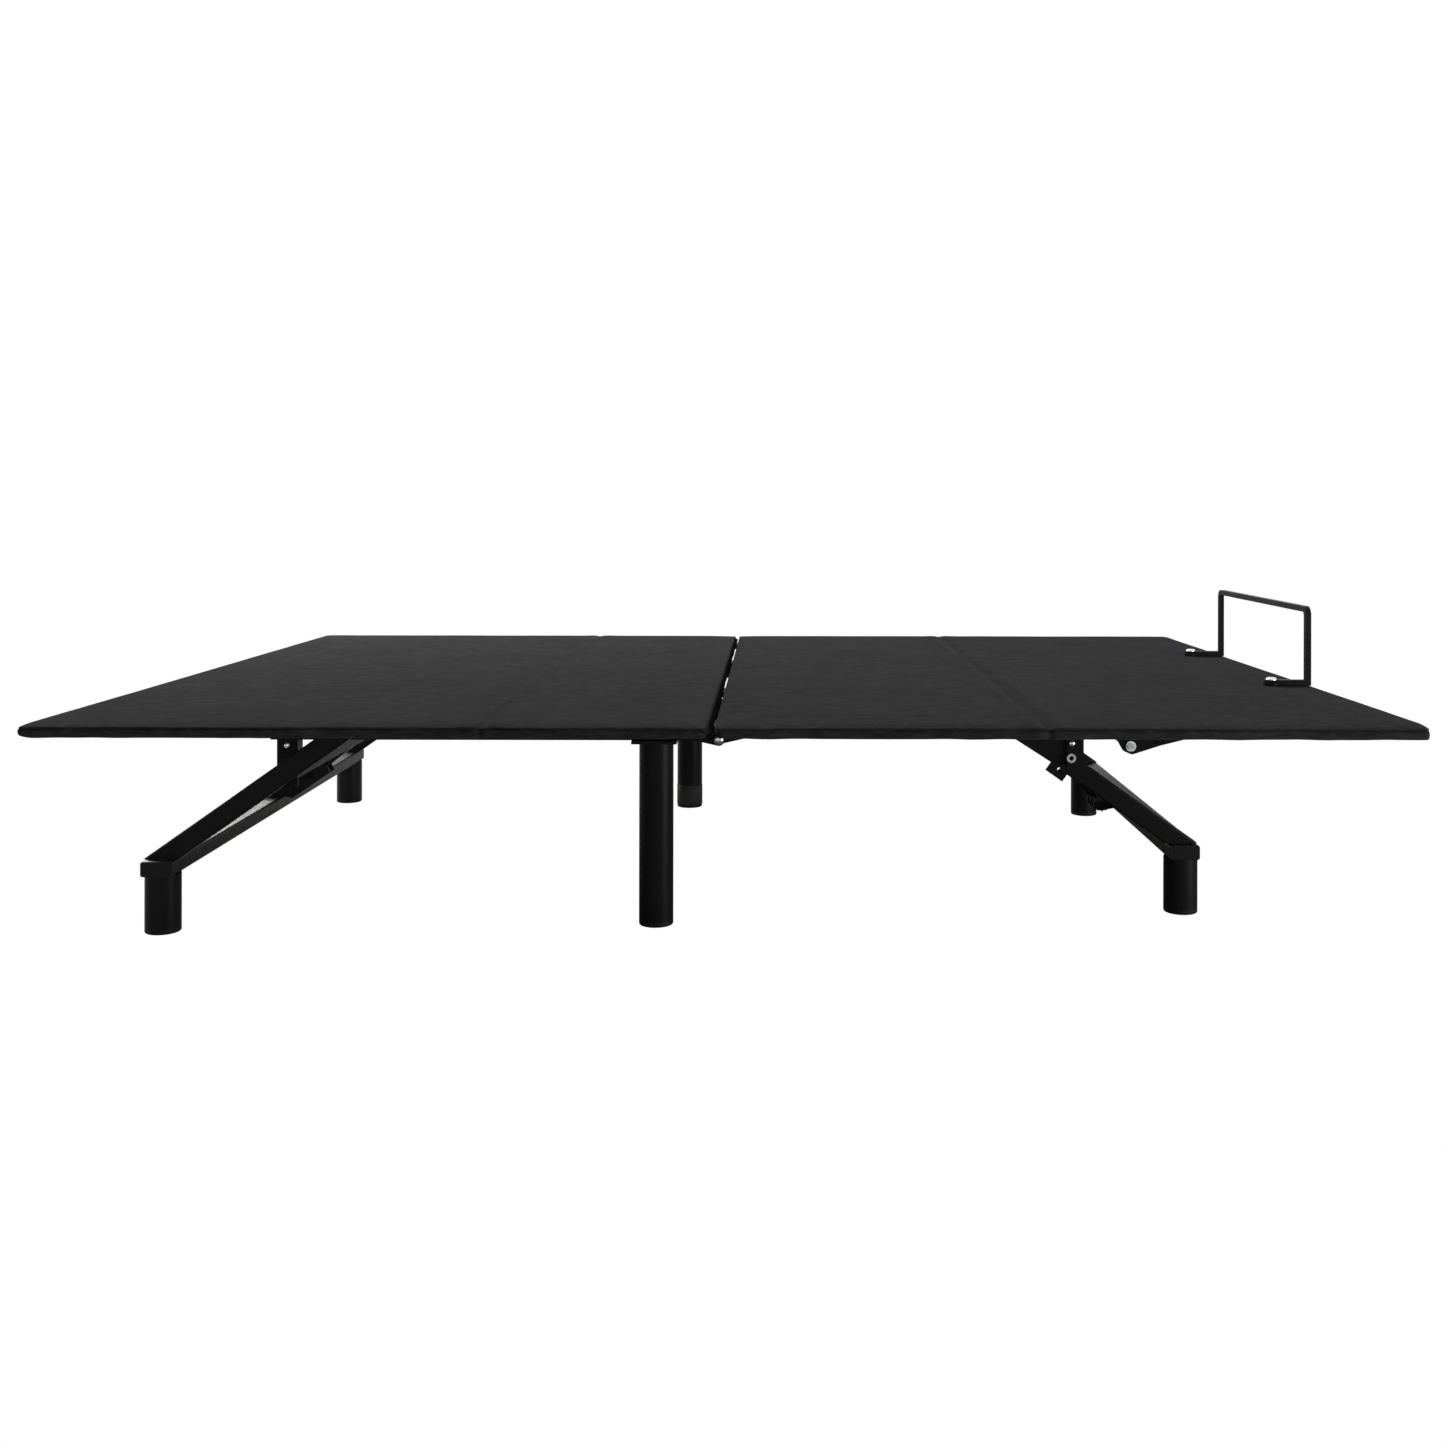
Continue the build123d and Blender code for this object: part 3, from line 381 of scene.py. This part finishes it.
# Waves of the cloth: height, length along the bed, width across it and layer of noise. Those of the sides
# change layer with the height
LONG_SWELL = (0.45, 160.0, 190.0, 3.0)
SHORT_SWELL = (0.16, 46.0, 60.0, 9.0)
SIDE_SWELL = (0.6, 90.0, 90.0)
SIDE_LAYER = 9.0
HEM_SWELL = (0.9, 42.0, 42.0, 5.0)
HEM_LIFT = 0.25
# The dip along a hinge, the swell on each side of it, and the pinch and puckers at the sides
CREASE_DIP, CREASE_REACH = 1.5, 6.0
CREASE_SWELL, SWELL_PLACE, SWELL_REACH = 0.6, 20.0, 11.0
SIDE_PINCH, PINCH_REACH = 2.2, 5.0
PUCKER_DEPTH, PUCKER_REACH, PUCKER_TURN, PUCKER_SHIFT = 0.8, 34.0, 0.23, 0.8
# Falls of the padded top: at every soft edge, along the near side and towards the fold
SHOULDER_FALL, SHOULDER_REACH = 1.7, 42.0
NEAR_FALL, NEAR_REACH = 1.9, 38.0
FOLD_FALL_REACH = 80.0
# The rounded end nearest the head: its length, the distance from the middle of the pad's depth at which it
# closes by the whole of nose, and how much less it closes above the middle
NOSE_REACH, NOSE_HEIGHT = 26.0, 10.0
UPPER_NOSE = 0.25
# Length over which the mesh goes from fine to coarse
STEP_GROWTH = 60.0

# A row of the wrap: outwards reach at the sides, the fold and the outer end, depth below the top, and length
# along the sheet
Row = namedtuple("Row", "out fold_out end_out drop along")
TOP_ROW = Row(0.0, 0.0, 0.0, 0.0, 0.0)


def spaced(low, high, step, fine_at, fine_reach, fine_step):
    """Stations from low to high, closer together near some places."""
    stations = [low]
    while stations[-1] < high - 1e-6:
        near = min(abs(stations[-1] - place) for place in fine_at)
        grow = min(1.0, max(0.0, (near - fine_reach) / STEP_GROWTH))
        stations.append(stations[-1] + fine_step + (step - fine_step) * grow)
    scale = (high - low) / (stations[-1] - low)
    return [low + (value - low) * scale for value in stations]


def fade(distance, reach):
    """1 at no distance, falling evenly to 0 at the reach."""
    return max(0.0, 1.0 - distance / reach)


def bell(distance, reach):
    """1 at no distance, falling softly on both sides."""
    return exp(-(distance / reach) ** 2)


def swell(x, y, height, length, width, layer):
    """Smooth waves in the cloth, of a length along the bed and a width across it."""
    return height * noise.noise(Vector((x / length, y / width, layer)))


def sign(value):
    """1 for a positive value, else -1."""
    return 1 if value > 0 else -1


class Cover:
    """A sheet wrapped over two pads that a hinge joins: top panel, seam, side band and hem. It is pulled in
    along the hinge, its end nearest the head is rounded by nose, and its top falls towards the fold."""

    def __init__(self, pads, hinge, outer_corner, nose, fold_side, fold_fall, fold_reach, end_reach):
        self.x_low = pad_box(pads[0])[0][0]
        self.left = self.x_low + INSET
        self.right = pad_box(pads[1])[1][0] - INSET
        self.half = HALF_WIDTH - INSET
        self.corner = outer_corner - INSET
        self.crease = HINGE_X[hinge]
        self.nose = nose
        self.fold_side = fold_side
        self.fold_fall = fold_fall
        self.square_end = bool(end_reach)
        self.rows = []
        for number, (out, drop) in enumerate(WRAP):
            fold_out = fold_reach[number] if number < len(fold_reach) else out
            end_out = end_reach[number] if number < len(end_reach) else out
            self.rows.append(Row(out, fold_out, end_out, drop, length_along(WRAP[:number + 1])))
        self.points = []
        self.flat_points = []

    def outline(self, x, y):
        """A grid point moved inside the rounded corners, and the way out of the sheet there."""
        corner = self.corner
        dx = max(0.0, x - (self.right - corner)) - max(0.0, (self.left + corner) - x)
        dy = max(0.0, y - (self.half - corner)) - max(0.0, (corner - self.half) - y)
        if dx and dy:
            a, b = abs(dx) / corner, abs(dy) / corner
            a, b = a * (1 - b * b / 2) ** 0.5, b * (1 - a * a / 2) ** 0.5
            reach = hypot(a, b)
            new_x = x - dx + sign(dx) * a * corner
            new_y = y - dy + sign(dy) * b * corner
            return new_x, new_y, sign(dx) * a / reach, sign(dy) * b / reach
        if abs(dx) > abs(dy):
            return x, y, sign(dx), 0.0
        return x, y, 0.0, sign(dy)

    def outwards(self, x, y, out_x, out_y, row, side):
        """How far a point stands out of the top panel's edge; side is 0 on top and 1 below the roll."""
        away = x - self.crease
        cloth = swell(x, y, *SIDE_SWELL, (DECK_TOP - row.drop) / SIDE_LAYER) - SIDE_SINK
        cloth += PUCKER_DEPTH * bell(away, PUCKER_REACH) * sin(away * PUCKER_TURN + out_y * PUCKER_SHIFT)
        cloth -= SIDE_PINCH * bell(away, PINCH_REACH)
        push = row.out + cloth * side
        push += (row.fold_out - row.out) * max(0.0, out_x * self.fold_side) ** 2
        push += (row.end_out - row.out) * max(0.0, -out_x * self.fold_side) ** 2
        return push

    def fall(self, x, y, row):
        """How far the padded top falls away towards the edges and the fold."""
        fold_gap = self.right - x if self.fold_side > 0 else x - self.left
        length = self.right - self.left
        end_gap = length if self.square_end else length - fold_gap
        edge_gap = min(fold_gap, end_gap, self.half - abs(y))
        fall = SHOULDER_FALL * fade(edge_gap, SHOULDER_REACH) ** 2
        fall += self.fold_fall * fade(fold_gap, FOLD_FALL_REACH) ** 2
        fall += NEAR_FALL * fade(y + self.half, NEAR_REACH) ** 2
        return fall * fade(row.drop, FALL_DEPTH)

    def tuck(self, x, row):
        """How far the end nearest the head closes towards the middle of the pad's depth."""
        rise = PAD_DEPTH / 2 - row.drop
        nose = self.nose if rise < 0 else UPPER_NOSE * self.nose
        return nose * fade(x - self.x_low, NOSE_REACH) ** 2 * rise / NOSE_HEIGHT

    def surface(self, grid_x, grid_y, row):
        """Adds one point of the cover, with the swells and creases of cloth on it; returns its number."""
        x, y, out_x, out_y = self.outline(grid_x, grid_y)
        away = x - self.crease
        top = fade(row.drop, ROLL_DEPTH)
        cloth = swell(x, y, *LONG_SWELL) + swell(x, y, *SHORT_SWELL) - TOP_SINK
        cloth += CREASE_SWELL * bell(abs(away) - SWELL_PLACE, SWELL_REACH)
        cloth -= CREASE_DIP * bell(away, CREASE_REACH)
        hem = HEM_LIFT + swell(x, y, *HEM_SWELL) if row.out > 0.0 else 0.0
        z = DECK_TOP - row.drop + cloth * top + hem * (1 - top)
        z -= self.tuck(x, row) + self.fall(x, y, row)
        push = self.outwards(x, y, out_x, out_y, row, 1 - top)
        self.points.append(((x + out_x * push) * MM, (y + out_y * push) * MM, z * MM))
        self.flat_points.append(((x + out_x * row.along) * MM, (y + out_y * row.along) * MM))
        return len(self.points) - 1

    def build(self, name):
        """The cover as an object: a grid for the top, then one ring of faces for each row of the wrap."""
        xs = spaced(self.left, self.right, step=16.0, fine_at=(self.crease, self.left, self.right),
                    fine_reach=26.0, fine_step=2.0)
        ys = spaced(-self.half, self.half, step=20.0, fine_at=(-self.half, self.half),
                    fine_reach=20.0, fine_step=3.0)
        last_i, last_j = len(xs) - 1, len(ys) - 1
        grid = [[self.surface(x, y, TOP_ROW) for y in ys] for x in xs]
        faces = [(grid[i][j], grid[i + 1][j], grid[i + 1][j + 1], grid[i][j + 1])
                 for i in range(last_i) for j in range(last_j)]
        border = [(i, 0) for i in range(last_i)] + [(last_i, j) for j in range(last_j)]
        border += [(i, last_j) for i in range(last_i, 0, -1)] + [(0, j) for j in range(last_j, 0, -1)]
        above = [grid[i][j] for i, j in border]
        for row in self.rows:
            ring = [self.surface(xs[i], ys[j], row) for i, j in border]
            for k, below in enumerate(ring):
                after = (k + 1) % len(ring)
                faces.append((above[k], below, ring[after], above[after]))
            above = ring

        mesh = bpy.data.meshes.new(name)
        mesh.from_pydata(self.points, [], faces)
        layer = mesh.uv_layers.new(name="sheet")
        for item in mesh.loops:
            layer.data[item.index].uv = self.flat_points[item.vertex_index]
        mesh.shade_smooth()
        mesh.materials.append(finishes["deck_fabric"])
        made = bpy.data.objects.new(name, mesh)
        bpy.context.scene.collection.objects.link(made)
        return made


head_cover = Cover(("head_pad", "seat_pad"), "head_lift", outer_corner=12.0, nose=5.0, fold_side=1,
                   fold_fall=1.2, fold_reach=SEAT_REACH, end_reach=HEAD_REACH).build("head_seat_cover")
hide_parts("head_pad", "seat_pad")
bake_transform(head_cover)
foot_cover = Cover(("thigh_pad", "foot_pad"), "knee_bend", outer_corner=7.0, nose=1.0, fold_side=-1,
                   fold_fall=0.8, fold_reach=THIGH_REACH, end_reach=FOOT_REACH).build("thigh_foot_cover")
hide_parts("thigh_pad", "foot_pad")
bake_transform(foot_cover)


def open_sleeve(name, radius, length, wall, finish, sides, place, turn=(0.0, 0.0, 0.0)):
    """A round sleeve, open at both ends, with an even wall."""
    bpy.ops.mesh.primitive_cylinder_add(vertices=sides, radius=radius * MM, depth=length * MM,
                                        end_fill_type="NOTHING", location=place, rotation=turn)
    made = bpy.context.object
    made.name = name
    made.data.materials.append(finish)
    made.modifiers.new("wall", "SOLIDIFY").thickness = wall * MM
    made.data.shade_smooth()
    return made


# Grey foot sleeve on the far centre leg
LEG_SLEEVE_PLACE = (-0.116, 0.479, 0.0275)
sleeve = open_sleeve("leg_sleeve", radius=28.1, length=43.0, wall=0.6, sides=96, place=LEG_SLEEVE_PLACE,
                     finish=moulded("leg_sleeve_grey", 0.04, 0.6, 1100.0, 0.10 * MM))
rim = sleeve.modifiers.new("rim", "BEVEL")
rim.width = 0.25 * MM
rim.limit_method = "ANGLE"
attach(sleeve, "base")

# Short sleeves welded behind the holes in the foot struts' tabs
TAB_HOLE = (0.543, 0.23645)
for side, across in (("right", -0.400), ("left", 0.400)):
    sleeve = open_sleeve("strut_sleeve_" + side, radius=6.4, length=20.0, wall=2.2, sides=64,
                         place=(TAB_HOLE[0], across, TAB_HOLE[1]), turn=(pi / 2, 0.0, 0.0),
                         finish=finishes["frame_steel"])
    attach(sleeve, "base")


# Floor, lights and camera
def ray_kind(tree, kind):
    """1 for rays of one kind, such as those from the camera."""
    return new_node(tree, "ShaderNodeLightPath", output=kind)


def white_floor(level):
    """A plain matt floor, white to the camera; reflections show it as it is lit, with the part's shadow."""
    material = bpy.data.materials.new("floor")
    material.use_nodes = True
    tree = material.node_tree
    tree.nodes.clear()
    matt = new_node(tree, "ShaderNodeBsdfDiffuse", inputs={"Color": (level, level, level, 1.0)})
    glow = new_node(tree, "ShaderNodeEmission")
    to_camera = ray_kind(tree, "Is Camera Ray")
    shown = new_node(tree, "ShaderNodeMixShader", inputs={0: to_camera, 1: matt, 2: glow})
    join(tree, tree.nodes.new("ShaderNodeOutputMaterial").inputs["Surface"], shown)
    return material


bpy.ops.mesh.primitive_plane_add(size=40.0, location=(0, 0, 0))
floor = bpy.context.object
floor.name = "floor"
floor.data.materials.append(white_floor(0.6))


def softbox(name, place, aim, size, power):
    """A rectangular area light that points at a place."""
    light = bpy.data.lights.new(name, "AREA")
    light.shape = "RECTANGLE"
    light.size, light.size_y = size
    light.energy = power
    lamp = bpy.data.objects.new(name, light)
    lamp.location = place
    lamp.rotation_euler = (Vector(aim) - Vector(place)).to_track_quat("-Z", "Y").to_euler()
    bpy.context.scene.collection.objects.link(lamp)


softbox("top_light", place=(-2.5, 2.2, 1.8), aim=(-0.7, 0.1, 0.3), size=(2.0, 1.5), power=150.0)
softbox("front_fill", place=(-1.2, -4.2, 0.75), aim=(0.0, 0.0, 0.25), size=(2.6, 1.2), power=8.0)
softbox("side_strip", place=(3.2, -2.0, 0.28), aim=(0.0, -0.45, 0.14), size=(1.4, 0.5), power=55.0)

# The backdrop is white where it is seen or mirrored, and lights the part only faintly
AMBIENT = 0.10
world = bpy.data.worlds.new("studio")
bpy.context.scene.world = world
world.use_nodes = True
tree = world.node_tree
backdrop = tree.nodes["Background"]
seen = ray_kind(tree, "Is Camera Ray").math("MAXIMUM", ray_kind(tree, "Is Glossy Ray"))
seen = seen.math("MAXIMUM", ray_kind(tree, "Is Transmission Ray"))
join(tree, backdrop.inputs["Strength"], seen + (1.0 - seen) * AMBIENT)
backdrop.inputs["Color"].default_value = (1, 1, 1, 1)

camera = bpy.data.objects.new("camera", bpy.data.cameras.new("camera"))
bpy.context.scene.collection.objects.link(camera)
camera.location = (0.075, -2.9348, 0.6736)
camera.rotation_euler = (radians(90), radians(-0.1), 0)
camera.data.lens = 38.14
camera.data.sensor_width = 36.0
camera.data.shift_x = -0.0370
camera.data.shift_y = -0.1513
camera.data.clip_end = 100.0
bpy.context.scene.camera = camera
bpy.context.scene.view_settings.view_transform = "Standard"
